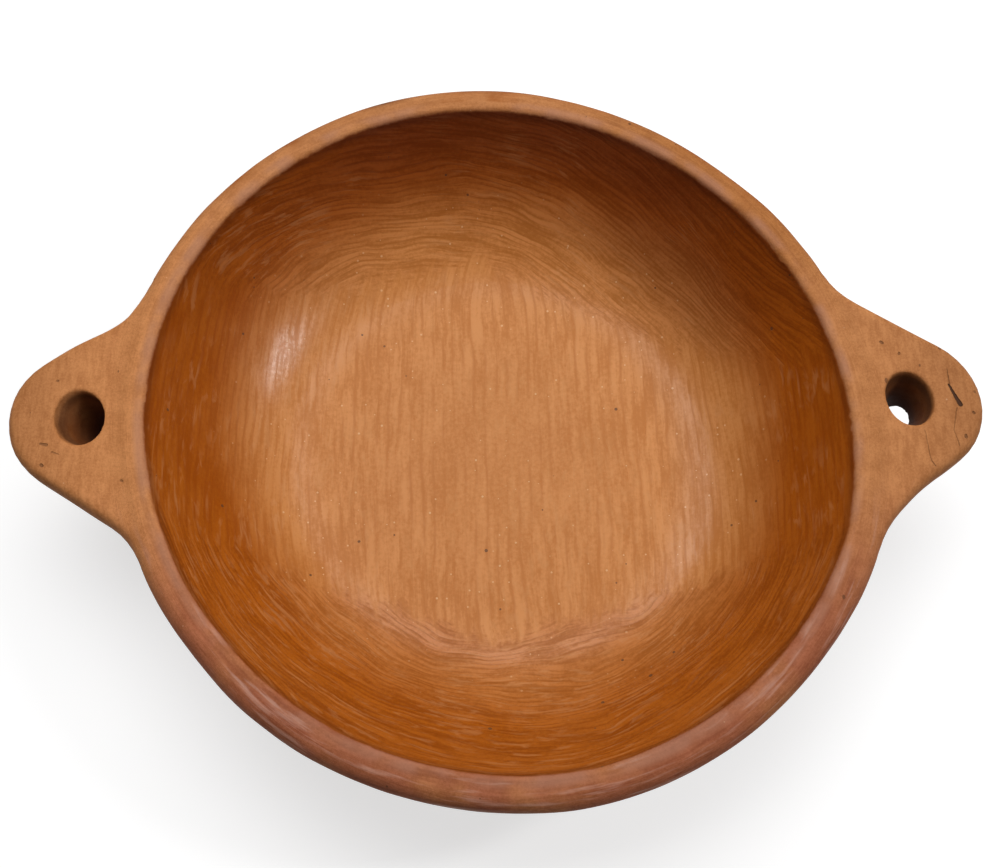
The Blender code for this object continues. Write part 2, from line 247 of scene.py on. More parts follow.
class DishColours(bpy.types.PropertyGroup):
    """Colours of the fired clay."""
    slip_wall: bpy.props.FloatVectorProperty(
        name="Slip on the wall", description="Burnished slip where it is thick", size=3,
        default=(0.365, 0.084, 0.001), subtype="COLOR", min=0.0, max=1.0)
    # Pale slip of the floor: thin slip, with painted sheen on top
    thin_slip_and_sheen: bpy.props.FloatVectorProperty(
        name="Slip on the floor", description="Burnished slip where it is thin", size=3,
        default=(0.580, 0.222, 0.054), subtype="COLOR", min=0.0, max=1.0)
    scuff: bpy.props.FloatVectorProperty(
        name="Scuffs", description="Clay that shows through the slip", size=3,
        default=(0.60, 0.27, 0.10), subtype="COLOR", min=0.0, max=1.0)
    clay: bpy.props.FloatVectorProperty(
        name="Bare clay", description="Unslipped clay of the rim and the lugs", size=3,
        default=(0.52, 0.206, 0.068), subtype="COLOR", min=0.0, max=1.0)
    clay_pink: bpy.props.FloatVectorProperty(
        name="Pink clay", description="Bare clay where the rim fired pinker", size=3,
        default=(0.38, 0.118, 0.052), subtype="COLOR", min=0.0, max=1.0)
    smoke: bpy.props.FloatVectorProperty(
        name="Smoke", description="Fire clouds and soot outside", size=3,
        default=(0.085, 0.045, 0.026), subtype="COLOR", min=0.0, max=1.0)


# Form of the dish

def swept_share(size, radius):
    return max(radius - size.floor_radius, 0.0) / (size.mouth_radius - size.floor_radius)


def inner_height(size, radius):
    return size.floor + (size.height - size.floor) * swept_share(size, radius) ** size.wall_sweep


def inner_slope(size, radius):
    rise = (size.height - size.floor) * size.wall_sweep / (size.mouth_radius - size.floor_radius)
    return math.atan(rise * swept_share(size, radius) ** (size.wall_sweep - 1.0))


def wall_table(size):
    """Radii up the inside wall and the lengths along it."""
    radii = np.linspace(size.floor_radius, size.mouth_radius, LENGTH_SAMPLES)
    heights = np.array([inner_height(size, radius) for radius in radii])
    lengths = np.concatenate(([0.0], np.cumsum(np.hypot(np.diff(radii), np.diff(heights)))))
    return radii, lengths


def inner_point(size, length):
    radii, lengths = wall_table(size)
    radius = float(np.interp(length, lengths, radii))
    return radius, inner_height(size, radius)


def outer_point(size, length):
    radius, height = inner_point(size, length)
    slope = inner_slope(size, radius)
    thickness = size.floor + (size.wall - size.floor) * swept_share(size, radius)
    return radius + thickness * math.sin(slope), height - thickness * math.cos(slope)


def seam_lengths(size):
    top = float(wall_table(size)[1][-1])
    seams = np.linspace(size.slab_edge, top - size.rim_coil, len(WALL_COILS) + 1)
    return [float(seam) for seam in seams]


def run(start, end, pitch=0.002, lead=0.0003):
    """Values from start to end at about the pitch, with a short lead at both ends."""
    way = math.copysign(1.0, end - start)
    steps = max(2, round(abs(end - start) / pitch))
    middle = [float(value) for value in np.linspace(start, end, steps + 1)[1:-1]]
    return [start, start + way * lead] + middle + [end - way * lead, end]


def arc(centre, radius, start, end, steps):
    return [(centre[0] + radius * math.cos(angle), centre[1] + radius * math.sin(angle))
            for angle in np.linspace(start, end, steps + 1)]


def between(first, last, steps):
    """Points strictly between two points."""
    first, last = np.array(first), np.array(last)
    return [tuple(first + (last - first) * step / steps) for step in range(1, steps)]


def slab_section(size):
    seam = seam_lengths(size)[0]
    floor = [(radius, size.floor) for radius in np.linspace(0.0, size.floor_radius, FLOOR_STEPS)]
    inside = [inner_point(size, length) for length in run(0.0, seam)[1:]]
    outside = [outer_point(size, length) for length in run(seam - size.scarf, 0.0)[:-1]]
    under = [(radius, 0.0) for radius in np.linspace(size.floor_radius, 0.0, UNDER_STEPS)]
    return floor + inside + between(inside[-1], outside[0], SEAM_STEPS) + outside + under


def coil_section(size, bottom, top):
    inside = [inner_point(size, length) for length in run(bottom, top)]
    outside = [outer_point(size, length) for length in run(top - size.scarf, bottom - size.scarf)]
    above = between(inside[-1], outside[0], SEAM_STEPS)
    below = between(outside[-1], inside[0], SEAM_STEPS)
    return inside + above + outside + below


def lip_outside(size, foot):
    centre = (size.mouth_radius + size.rim_width - size.rim_round, size.height - size.rim_round)
    across = foot[0] - centre[0]
    down = foot[1] - centre[1]
    tangent = math.atan2(down, across) + math.acos(size.rim_round / math.hypot(across, down))
    return arc(centre, size.rim_round, math.pi / 2.0, tangent, LIP_STEPS)


def rim_section(size):
    bottom = seam_lengths(size)[-1]
    top = float(wall_table(size)[1][-1])
    slope = inner_slope(size, size.mouth_radius)
    trim = size.rim_edge * math.tan(slope / 2.0)
    inside = [inner_point(size, length) for length in run(bottom, top - trim, 0.001)]
    edge_centre = (size.mouth_radius + trim, size.height - size.rim_edge)
    edge = arc(edge_centre, size.rim_edge, math.pi / 2.0 + slope, math.pi / 2.0, EDGE_STEPS)[1:]
    foot = outer_point(size, bottom - size.scarf)
    lip = lip_outside(size, foot)
    flat = between(edge[-1], lip[0], FLAT_STEPS)
    side = between(lip[-1], foot, EDGE_STEPS) + [foot]
    return inside + edge + flat + lip + side + between(foot, inside[0], SEAM_STEPS)


def seat_section(size):
    """What a lug is cut to: the outside of the wall and the upright seat in the rim, filled inwards."""
    bottom = seam_lengths(size)[-1]
    seat = size.mouth_radius + size.rim_width - size.lug_seat
    wall = [outer_point(size, length) for length in np.linspace(0.0, bottom - size.scarf, SEAT_STEPS)]
    foot = wall[-1]
    lip = lip_outside(size, foot)[-1]
    share = (seat - foot[0]) / (lip[0] - foot[0])
    seat_foot = (seat, foot[1] + share * (lip[1] - foot[1]))
    high = 2.0 * size.height
    return wall + [seat_foot, (seat, high), (size.floor_radius, high)]


# Modelling steps

def only(piece):
    """Make the piece the one that is selected and active."""
    bpy.ops.object.select_all(action="DESELECT")
    piece.select_set(True)
    bpy.context.view_layer.objects.active = piece


def face_outwards():
    """End an edit with all faces turned outwards."""
    bpy.ops.mesh.select_all(action="SELECT")
    bpy.ops.mesh.normals_make_consistent(inside=False)
    bpy.ops.object.mode_set(mode="OBJECT")


def clean(piece):
    """Merge doubles, drop what is loose and turn the faces outwards."""
    only(piece)
    bpy.ops.object.mode_set(mode="EDIT")
    bpy.ops.mesh.select_all(action="SELECT")
    bpy.ops.mesh.remove_doubles(threshold=MERGE)
    bpy.ops.mesh.delete_loose()
    face_outwards()


def spun(name, section, start=0.0, angle=2.0 * math.pi, steps=AROUND):
    """A ring or a part of one: a circle shaped to the section and spun about the axis."""
    bpy.ops.object.select_all(action="DESELECT")
    bpy.ops.mesh.primitive_circle_add(vertices=len(section), radius=1.0, fill_type="NOTHING")
    piece = bpy.context.object
    piece.name = name
    piece.data.name = name
    for vert, (radius, height) in zip(piece.data.vertices, section):
        vert.co = (radius * math.cos(start), radius * math.sin(start), height)
    bpy.ops.object.mode_set(mode="EDIT")
    bpy.ops.mesh.select_all(action="SELECT")
    bpy.ops.mesh.spin(steps=steps, angle=-angle, center=(0.0, 0.0, 0.0), axis=(0.0, 0.0, 1.0))
    bpy.ops.object.mode_set(mode="OBJECT")
    clean(piece)
    if angle < 2.0 * math.pi:
        bpy.ops.object.mode_set(mode="EDIT")
        bpy.ops.mesh.select_all(action="DESELECT")
        bpy.ops.mesh.select_non_manifold()
        bpy.ops.mesh.fill_holes(sides=0)
        face_outwards()
    return piece


def oval_stretch(size, bearing):
    return 1.0 + size.oval / size.mouth_radius * np.cos(2.0 * (bearing - size.oval_bearing))


def points_of(piece):
    places = np.empty(3 * len(piece.data.vertices))
    piece.data.vertices.foreach_get("co", places)
    return places.reshape(-1, 3)


def move_points(piece, places):
    piece.data.vertices.foreach_set("co", places.ravel())
    piece.data.update()


def press_oval(size, piece):
    """Draw the piece out along the oval's bearing and in across it."""
    places = points_of(piece)
    places[:, :2] *= oval_stretch(size, np.arctan2(places[:, 1], places[:, 0]))[:, None]
    move_points(piece, places)


def press_lip(size, piece):
    """Press the lip out and in round the dish, and the wall below it and the lugs beyond it less."""
    turn = np.arange(-180.0, 180.0)
    press = np.interp(turn, *zip(*LIP_PRESS), period=360.0)
    soft = np.hanning(LIP_SOFTENING)
    press = np.convolve(np.tile(press, 3), soft / soft.sum(), "same")[360:720]
    places = points_of(piece)
    bearing = np.degrees(np.arctan2(places[:, 1], places[:, 0]))
    radius = np.hypot(places[:, 0], places[:, 1])
    lip = size.mouth_radius + size.rim_width
    share = np.interp(radius, [size.floor_radius, size.mouth_radius, lip, lip + PRESS_HELD, lip + PRESS_GONE],
                      [0.0, MOUTH_SHARE, 1.0, 1.0, 0.0])
    moved = radius + MM * share * np.interp(bearing, turn, press, period=360.0)
    moved -= np.interp(radius, [lip, CAD_HIGH.x], [0.0, TIP_DRAWN_IN])
    places[:, :2] *= (moved / np.maximum(radius, MERGE))[:, None]
    move_points(piece, places)


def press_flanks(size, piece):
    """Press the lugs' flanks in with the thumb, and leave the lip as it is."""
    places = points_of(piece)
    lip = size.mouth_radius + size.rim_width
    radius = np.hypot(places[:, 0], places[:, 1])
    beyond = np.interp(radius, [lip - FLANK_START, lip + PRESS_HELD], [0.0, 1.0])
    for x, y, spread, push_x, push_y in FLANK_PRESS:
        off = np.hypot(places[:, 0] - MM * x, places[:, 1] - MM * y) / (MM * spread)
        share = beyond * np.exp(-off ** 2)
        places[:, 0] += MM * push_x * share
        places[:, 1] += MM * push_y * share
    move_points(piece, places)


def add_modifier(piece, kind, **settings):
    """Add a modifier with its settings and apply it."""
    only(piece)
    bpy.ops.object.modifier_add(type=kind)
    modifier = piece.modifiers[-1]
    for name, value in settings.items():
        setattr(modifier, name, value)
    bpy.ops.object.modifier_apply(modifier=modifier.name)


def cut(piece, tool):
    add_modifier(piece, "BOOLEAN", operation="DIFFERENCE", solver="EXACT", object=tool)
    bpy.data.objects.remove(tool)


def hand_texture(name, scale):
    """Soft lumps that the hands leave, in metres."""
    if name not in bpy.data.textures:
        lumps = bpy.data.textures.new(name, "CLOUDS")
        lumps.noise_scale = scale
        lumps.noise_depth = 2
    return bpy.data.textures[name]


def slice_off(piece, point, outward):
    """Cut the piece along a plane, drop the side that the normal points to and close the cut."""
    only(piece)
    bpy.ops.object.mode_set(mode="EDIT")
    bpy.ops.mesh.select_all(action="SELECT")
    bpy.ops.mesh.bisect(plane_co=point, plane_no=outward, use_fill=True, clear_outer=True)
    bpy.ops.mesh.select_all(action="SELECT")
    bpy.ops.mesh.delete_loose()
    face_outwards()


def keep_linked(piece, index):
    """Drop every loose flake that is not linked to the given vertex."""
    only(piece)
    bpy.ops.object.mode_set(mode="EDIT")
    bpy.ops.mesh.select_all(action="DESELECT")
    bpy.ops.object.mode_set(mode="OBJECT")
    piece.data.vertices[index].select = True
    bpy.ops.object.mode_set(mode="EDIT")
    bpy.ops.mesh.select_linked()
    bpy.ops.mesh.select_all(action="INVERT")
    bpy.ops.mesh.delete(type="VERT")
    bpy.ops.object.mode_set(mode="OBJECT")


def work_by_hand(size, piece):
    """Leave the piece slightly uneven. The lumps go by place, so that neighbours still meet."""
    press_lip(size, piece)
    for axis, scale in HAND_LUMPS:
        lumps = hand_texture("hand_lumps_" + axis.lower(), scale)
        add_modifier(piece, "DISPLACE", texture=lumps, texture_coords="LOCAL", direction=axis,
                     mid_level=0.5, strength=size.unevenness)


def finish_piece(piece, node, look):
    """Shade the piece, give it its finish and let it stand for its solid."""
    only(piece)
    bpy.ops.object.shade_smooth_by_angle(angle=SMOOTH_ANGLE)
    piece.data.materials.clear()
    piece.data.materials.append(look)
    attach(piece, "root")
    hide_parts(node)


# Materials

def tree_of(values):
    """Node tree of the first socket among the values."""
    return next(value.id_data for value in values if isinstance(value, bpy.types.NodeSocket))


def put(node, inputs):
    """Link the sockets and set the values to a node's inputs."""
    for name, value in inputs.items():
        socket = node.inputs[name]
        if isinstance(value, bpy.types.NodeSocket):
            node.id_data.links.new(value, socket)
        elif socket.type == "RGBA":
            socket.default_value = (*tuple(value)[:3], 1.0)
        else:
            socket.default_value = value


def add_node(tree, kind, inputs=None, **settings):
    made = tree.nodes.new(kind)
    for name, value in settings.items():
        setattr(made, name, value)
    put(made, inputs or {})
    return made.outputs


def use(group, vector):
    """Outputs of a node group that is given a place."""
    return add_node(vector.id_data, "ShaderNodeGroup", {0: vector}, node_tree=group)


def calc(operation, *values, clamp=False):
    inputs = dict(enumerate(values))
    return add_node(tree_of(values), "ShaderNodeMath", inputs, operation=operation, use_clamp=clamp)[0]


def chain(operation, first, others):
    for other in others:
        first = calc(operation, first, other)
    return first


def times(first, *others):
    return chain("MULTIPLY", first, others)


def plus(first, *others):
    return chain("ADD", first, others)


def minus(first, *others):
    return chain("SUBTRACT", first, others)


def onto(base, value, share):
    """The base with a share of the value on top."""
    return calc("MULTIPLY_ADD", value, share, base)


def swing(value):
    """A value from 0 to 1, moved to lie about 0."""
    return minus(value, 0.5)


def vector_calc(operation, *values):
    made = add_node(tree_of(values), "ShaderNodeVectorMath", dict(enumerate(values)), operation=operation)
    return made["Value" if operation in ("DOT_PRODUCT", "DISTANCE", "LENGTH") else "Vector"]


def stretched(vector, scale):
    return vector_calc("MULTIPLY", vector, scale)


def shifted(vector, way):
    return vector_calc("ADD", vector, way)


def split(vector):
    return tuple(add_node(vector.id_data, "ShaderNodeSeparateXYZ", {"Vector": vector}))


def combined(x, y, z=0.0):
    return add_node(x.id_data, "ShaderNodeCombineXYZ", {"X": x, "Y": y, "Z": z})[0]


def ramp(value, low, high, to_low=0.0, to_high=1.0):
    """Smooth step of the value from low to high."""
    inputs = {"Value": value, "From Min": low, "From Max": high, "To Min": to_low, "To Max": to_high}
    return add_node(value.id_data, "ShaderNodeMapRange", inputs, interpolation_type="SMOOTHSTEP")["Result"]


def mix(share, first, second, kind="RGBA", blend="MIX"):
    low, high, out = MIX_SOCKETS[kind]
    tree = tree_of((share, first, second))
    inputs = {0: share, low: first, high: second}
    return add_node(tree, "ShaderNodeMix", inputs, data_type=kind, blend_type=blend)[out]


def tint(colour, by):
    return mix(1.0, colour, by, blend="MULTIPLY")


def noise(vector, scale, detail=2.0, roughness=0.5, distortion=0.0):
    inputs = {"Vector": vector, "Scale": scale, "Detail": detail, "Roughness": roughness,
              "Distortion": distortion}
    return add_node(vector.id_data, "ShaderNodeTexNoise", inputs)["Fac"]


def drawn_noise(vector, rates, *settings):
    """Noise with its own rate along each axis."""
    return noise(stretched(vector, rates), 1.0, *settings)


def specks(vector, scale, size, chance):
    """Small dots, one at most in each cell, kept by chance."""
    inputs = {"Vector": vector, "Scale": scale, "Randomness": 1.0}
    cells = add_node(vector.id_data, "ShaderNodeTexVoronoi", inputs)
    pick = add_node(vector.id_data, "ShaderNodeSeparateColor", {"Color": cells["Color"]})
    kept = calc("LESS_THAN", pick["Red"], chance)
    near = calc("LESS_THAN", cells["Distance"], times(pick["Green"], size))
    return times(kept, near)


def node_group(name, outputs):
    """Let a function fill a shader node group of this name, once. The group is given a place as a vector."""
    def adopt(fill):
        def group(*given):
            if name not in bpy.data.node_groups:
                tree = bpy.data.node_groups.new(name, "ShaderNodeTree")
                tree.interface.new_socket(name="Vector", in_out="INPUT", socket_type="NodeSocketVector")
                for socket in outputs:
                    kind = "NodeSocketColor" if socket == "Color" else "NodeSocketFloat"
                    tree.interface.new_socket(name=socket, in_out="OUTPUT", socket_type=kind)
                place = add_node(tree, "NodeGroupInput")[0]
                put(tree.nodes.new("NodeGroupOutput"), fill(place, *given))
            return bpy.data.node_groups[name]
        return group
    return adopt


@node_group("dish_place", ("Radius", "Height", "Depth", "X", "Y"))
def place_group(vector, size):
    """Where a point lies on the dish: radius with the oval undone, height, and depth under the inside face."""
    x, y, z = split(vector)
    x2 = times(x, x)
    y2 = times(y, y)
    square = plus(x2, y2, TINY_SQUARE)
    double_cos = calc("DIVIDE", minus(x2, y2), square)
    double_sin = calc("DIVIDE", times(x, 2.0, y), square)
    turn = 2.0 * size.oval_bearing
    pull = plus(times(double_cos, math.cos(turn)), times(double_sin, math.sin(turn)))
    stretch = onto(1.0, pull, size.oval / size.mouth_radius)
    radius = calc("DIVIDE", calc("SQRT", square), stretch)
    share = calc("DIVIDE", minus(radius, size.floor_radius), size.mouth_radius - size.floor_radius)
    swept = calc("POWER", calc("MAXIMUM", share, 0.0), size.wall_sweep)
    inside = onto(size.floor, swept, size.height - size.floor)
    return {"Radius": radius, "Height": z, "Depth": minus(inside, z), "X": x, "Y": y}


@node_group("stroke_lines", ("Tone", "Line", "Streak", "Dash", "Groove"))
def lines_group(course):
    """Strokes of the burnishing stone along a course, whose Z runs across the strokes."""
    x, y, z = split(course)
    phase = times(z, STROKES_PER_METRE)
    inside = calc("FRACT", phase)
    rest = minus(1.0, inside)
    border = calc("MINIMUM", inside, rest)
    own = combined(times(x, 40.0), times(y, 40.0),
                         times(calc("FLOOR", phase), STROKE_APART))
    per_stroke = noise(own, 1.0, 1.0)
    fine = drawn_noise(course, (80.0, 80.0, 1000.0), 3.0, 0.6)
    broad = drawn_noise(course, (34.0, 34.0, 110.0))
    faint = ramp(drawn_noise(course, (38.0, 38.0, 140.0)), 0.42, 0.62)
    streak = ramp(drawn_noise(course, (50.0, 50.0, 620.0)), 0.56, 0.70)
    dash = ramp(drawn_noise(course, (125.0, 125.0, 480.0), 3.0, 0.55, 0.5), 0.53, 0.68)
    tone = plus(times(per_stroke, 0.30), times(fine, 0.32))
    tone = onto(tone, broad, 0.12)
    tone = onto(tone, times(minus(border, 0.25), faint), 0.16)
    bowed = times(inside, 4.0, rest)
    groove = onto(times(bowed, 0.03 * MM), fine, 0.05 * MM)
    line = times(ramp(border, 0.20, 0.02), faint)
    return {"Tone": tone, "Line": line, "Streak": streak, "Dash": dash, "Groove": groove}


@node_group("burnishing_strokes", ("Tone", "Line", "Scuff", "Groove", "Wall"))
def strokes_group(vector, size):
    """Burnishing strokes: lengthwise along Y over the floor and the ends, round the wall beyond them."""
    where = use(place_group(size), vector)
    x, y, radius = where["X"], where["Y"], where["Radius"]
    shiver = swing(noise(vector, 75.0))
    climb = times(minus(where["Height"], size.floor), 0.8)
    # Lanes along the floor
    across = onto(x, calc("SIGN", x), climb)
    sway = swing(drawn_noise(combined(y, 0.5, across), (9.0, 9.0, 22.0), 1.0))
    lane = onto(onto(across, sway, 0.011), shiver, 0.0022)
    floor_course = combined(y, 0.5, times(lane, FLOOR_STROKES))
    # Lanes round the wall, which slant across its far side
    reach = calc("DIVIDE", WALL_COURSE_RADIUS, calc("MAXIMUM", radius, LEAST_RADIUS))
    round_x = times(x, reach)
    round_y = times(y, reach)
    slant = times(x, ramp(y, 0.0, 0.07, 0.0, 0.30))
    up_wall = plus(radius, climb, slant)
    sway = swing(drawn_noise(combined(round_x, round_y, up_wall), (11.0, 11.0, 17.0)))
    lane = onto(onto(up_wall, sway, 0.034), shiver, 0.0030)
    wall_course = combined(round_x, round_y, lane)
    # Ragged border between the two
    margin = -1.0
    for bearing, distance in STROKE_SIDES:
        angle = math.radians(bearing)
        out = plus(times(x, math.cos(angle)), times(y, math.sin(angle)))
        margin = calc("MAXIMUM", minus(out, distance), margin)
    ends = swing(drawn_noise(floor_course, (12.0, 12.0, 480.0), 1.0))
    ragged = swing(noise(vector, 150.0, 3.0, 0.6))
    margin = onto(onto(margin, ends, 0.016), ragged, 0.012)
    wall = ramp(margin, -0.004, 0.004)
    turn = use(lines_group(), wall_course)
    drawn = {}
    for along in use(lines_group(), floor_course):
        drawn[along.name] = mix(wall, along, turn[along.name], "FLOAT")
    # The middle of the floor is rubbed smooth
    grain = noise(vector, 700.0, 3.0, 0.65)
    rubbed = ramp(radius, 0.014, 0.060, 0.40, 1.0)
    tone = onto(MEAN_TONE, minus(drawn["Tone"], MEAN_TONE), rubbed)
    tone = onto(tone, grain, 0.24)
    # Scuffs come in patches, most of them near and on the left
    patchy = plus(noise(vector, 42.0), ramp(y, 0.03, -0.07, -0.06, 0.08))
    patchy = minus(patchy, ramp(x, 0.03, 0.10, 0.0, 0.09))
    patchy = plus(patchy, ramp(x, -0.03, -0.09, 0.0, 0.08))
    scuff = calc("MAXIMUM", drawn["Streak"], times(drawn["Dash"], 0.9))
    scuff = times(scuff, ramp(patchy, 0.38, 0.58))
    groove = onto(drawn["Groove"], grain, 0.014 * MM)
    return {"Tone": tone, "Line": drawn["Line"], "Scuff": scuff, "Groove": groove, "Wall": wall}


@node_group("burnished_slip", FINISH)
def slip_group(vector, size, colours):
    """Burnished slip of the inside: colour, roughness, relief and gloss."""
    where = use(place_group(size), vector)
    x, y, height = where["X"], where["Y"], where["Height"]
    worn = use(strokes_group(size), vector)
    wall, tone, scuff = worn["Wall"], worn["Tone"], worn["Scuff"]
    # The slip is thin and pale low down; part of the paleness is painted sheen
    lifted = minus(height, ramp(y, -0.03, 0.08, 0.0, 0.009), ramp(x, 0.03, 0.09, 0.0, 0.004))
    fade = times(wall, ramp(y, 0.0, 0.05, -0.40, -0.12))
    thin_and_sheen = times(ramp(lifted, 0.034, 0.010), plus(fade, 1.0))
    blotch = swing(noise(vector, 26.0, 3.0, 0.55))
    thin_and_sheen = calc("ADD", thin_and_sheen, times(blotch, 0.40), clamp=True)
    colour = mix(thin_and_sheen, colours.slip_wall, colours.thin_slip_and_sheen)
    # Strokes, scuffs and grit
    dark = tint(colour, mix(wall, FLOOR_DARK, WALL_DARK))
    light = tint(colour, mix(wall, FLOOR_LIGHT, WALL_LIGHT))
    colour = mix(ramp(tone, 0.39, 0.59), dark, light)
    colour = mix(times(worn["Line"], 0.8), colour, dark)
    colour = mix(times(scuff, 0.36), colour, colours.scuff)
    pale = times(specks(vector, 330.0, 0.15, 0.52), thin_and_sheen)
    colour = mix(times(pale, 0.6), colour, SLIP_GRIT)
    black = specks(shifted(vector, (0.37, 0.11, 0.53)), 230.0, 0.17, 0.10)
    colour = mix(times(black, 0.75), colour, SLIP_PIT)
    # Painted shade on the far wall and low in the corner on its right
    painted_far_shade = times(ramp(y, 0.03, 0.10), ramp(height, 0.024, 0.056),
                        ramp(x, -0.09, -0.03, 0.55, 1.0))
    shaded_corner = times(ramp(x, 0.0, 0.07), ramp(y, 0.02, 0.06),
                         ramp(height, 0.014, 0.026, 0.0, 0.55))
    colour = mix(calc("MAXIMUM", painted_far_shade, shaded_corner), colour, tint(colour, FAR_WALL_SHADE))
    rough = onto(onto(0.54, tone, -0.16), scuff, 0.12)
    relief = onto(worn["Groove"], black, -0.08 * MM)
    relief = onto(relief, noise(vector, 34.0), 0.7 * MM)
    polish = ramp(tone, 0.40, 0.60, 0.20, 0.92)
    gloss = times(polish, ramp(where["Radius"], 0.066, 0.088, 0.10, 1.0))
    return {"Color": colour, "Roughness": rough, "Relief": relief, "Gloss": gloss}


@node_group("bare_clay", FINISH)
def clay_group(vector, size, colours):
    """Bare wiped clay of the rim and the lugs: colour, roughness, relief and gloss."""
    where = use(place_group(size), vector)
    x, y, radius = where["X"], where["Y"], where["Radius"]
    near = ramp(y, -0.02, -0.09)
    pink = times(near, ramp(noise(vector, 30.0, 3.0), 0.20, 0.55))
    colour = mix(pink, colours.clay, colours.clay_pink)
    # Wiped round the rim, and across the lugs
    reach = calc("DIVIDE", RIM_COURSE_RADIUS, calc("MAXIMUM", radius, LEAST_RADIUS))
    round_course = combined(times(x, reach, 0.10), times(y, reach, 0.10),
                                  minus(radius, where["Height"]))
    lug_course = stretched(vector, (1.0, 0.20, 1.0))
    course = mix(ramp(radius, 0.129, 0.137), round_course, lug_course, "VECTOR")
    wipe = noise(course, 620.0, 4.0, 0.65)
    mottle = noise(vector, 150.0, 4.0, 0.65)
    grain = noise(vector, 1200.0, 3.0, 0.7)
    tone = plus(times(mottle, 0.34), times(wipe, 0.38))
    tone = onto(tone, grain, 0.28)
    colour = mix(ramp(tone, 0.36, 0.64), tint(colour, CLAY_DARK), tint(colour, CLAY_LIGHT))
    # Painted light on the left and painted shade on the far right; darker at the lugs' tips
    colour = mix(ramp(x, -0.06, -0.13), colour, tint(colour, CLAY_LEFT_PAINTED_LIGHT))
    shaded_corner = times(ramp(x, 0.02, 0.07), ramp(y, 0.03, 0.07))
    colour = mix(shaded_corner, colour, tint(colour, CLAY_FAR_RIGHT_PAINTED_SHADE))
    tip = ramp(radius, 0.139, 0.168, 0.0, 0.75)
    colour = mix(tip, colour, tint(colour, CLAY_TIP))
    # Dark smears and pale streaks on the near rim
    smear = noise(shifted(round_course, (0.0, 0.0, 0.4)), 260.0, 3.0, 0.6)
    smear = times(ramp(smear, 0.53, 0.66), ramp(near, 0.0, 1.0, 0.15, 0.75))
    colour = mix(smear, colour, tint(colour, CLAY_SMEAR))
    streak = times(ramp(noise(round_course, 330.0, 3.0, 0.6), 0.53, 0.68), near)
    colour = mix(times(streak, 0.50), colour, CLAY_STREAK)
    pits = specks(stretched(vector, (1.0, 0.6, 1.0)), 240.0, 0.15, 0.10)
    colour = mix(times(pits, 0.7), colour, CLAY_PIT)
    pale = specks(shifted(vector, (0.21, 0.43, 0.17)), 340.0, 0.12, 0.07)
    colour = mix(times(pale, 0.5), colour, CLAY_GRIT)
    relief = plus(times(mottle, 0.34 * MM), times(wipe, 0.12 * MM))
    relief = onto(onto(relief, grain, 0.04 * MM), pits, -0.25 * MM)
    return {"Color": colour, "Roughness": onto(0.60, tone, 0.18), "Relief": relief,
            "Gloss": times(streak, 0.25)}


@node_group("lug_marks_and_hole_shade", ("Mark", "Relief", "Hole"))
def marks_and_hole_shade_group(vector, size):
    """Gouges, cracks and pits on the lugs' tops with their relief, and painted shade that deepens down the
    finger holes.
    """
    x, y, z = split(vector)
    shake = times(swing(noise(vector, 420.0, 3.0, 0.6)), 0.7 * MM)
    flat = combined(plus(x, shake), y)
    mark = 0.0
    relief = 0.0
    for x0, y0, x1, y1, start, end, depth in LUG_MARKS:
        first = Vector((x0, y0, 0.0)) * MM
        way = Vector((x1 - x0, y1 - y0, 0.0)) * MM
        from_first = vector_calc("SUBTRACT", flat, tuple(first))
        along = vector_calc("DOT_PRODUCT", from_first, tuple(way))
        along = calc("DIVIDE", along, way.length_squared, clamp=True)
        inputs = {0: tuple(way), "Scale": along}
        foot = add_node(vector.id_data, "ShaderNodeVectorMath", inputs, operation="SCALE")[0]
        off = vector_calc("DISTANCE", from_first, foot)
        half = onto(MM * start, along, MM * (end - start))
        inside = ramp(minus(off, half), 0.15 * MM, -0.2 * MM)
        mark = calc("MAXIMUM", mark, times(inside, min(1.0, 0.22 + 0.8 * depth)))
        relief = calc("MINIMUM", relief, times(inside, -MM * depth))
    top = ramp(z, size.lug_top - 0.006, size.lug_top - 0.004)
    # Painted shade down the finger holes
    sunk = minus(size.lug_top, z)
    lean = times(sunk, size.left_lean, calc("LESS_THAN", x, 0.0))
    out = plus(minus(calc("ABSOLUTE", x), size.hole_reach), lean)
    side = calc("DIVIDE", y, size.hole_stretch)
    off_axis = calc("SQRT", plus(times(out, out), times(side, side)))
    wide = onto(size.hole_radius, sunk, -size.hole_taper)
    in_hole = ramp(minus(off_axis, wide), 1.8 * MM, 0.7 * MM)
    shade = plus(ramp(sunk, 0.0003, 0.003, 0.0, 0.78), ramp(sunk, 0.003, 0.020, 0.0, 0.22))
    return {"Mark": times(mark, top), "Relief": times(relief, top), "Hole": times(in_hole, shade)}


@node_group("fired_outside", FINISH)
def outside_group(vector, size, colours):
    """Outside of the dish: scraped slip with fire clouds that darken towards the foot."""
    where = use(place_group(size), vector)
    scrape = noise(stretched(vector, (0.25, 0.25, 4.0)), 130.0, 4.0, 0.6)
    mottle = noise(vector, 90.0, 4.0, 0.6)
    colour = mix(ramp(mottle, 0.35, 0.65), colours.slip_wall, colours.clay)
    colour = mix(ramp(scrape, 0.35, 0.65), tint(colour, SCRAPED), colour)
    cloud = noise(vector, 14.0, 3.0, 0.55)
    soot = plus(cloud, ramp(where["Height"], 0.055, 0.0, -0.08, 0.16))
    colour = mix(times(ramp(soot, 0.50, 0.74), 0.85), colour, colours.smoke)
    pits = specks(vector, 150.0, 0.2, 0.12)
    colour = mix(times(pits, 0.6), colour, OUTSIDE_PIT)
    relief = plus(times(scrape, 0.3 * MM), times(mottle, 0.3 * MM), times(pits, -0.2 * MM))
    return {"Color": colour, "Roughness": onto(0.62, scrape, 0.2), "Relief": relief, "Gloss": 0.0}


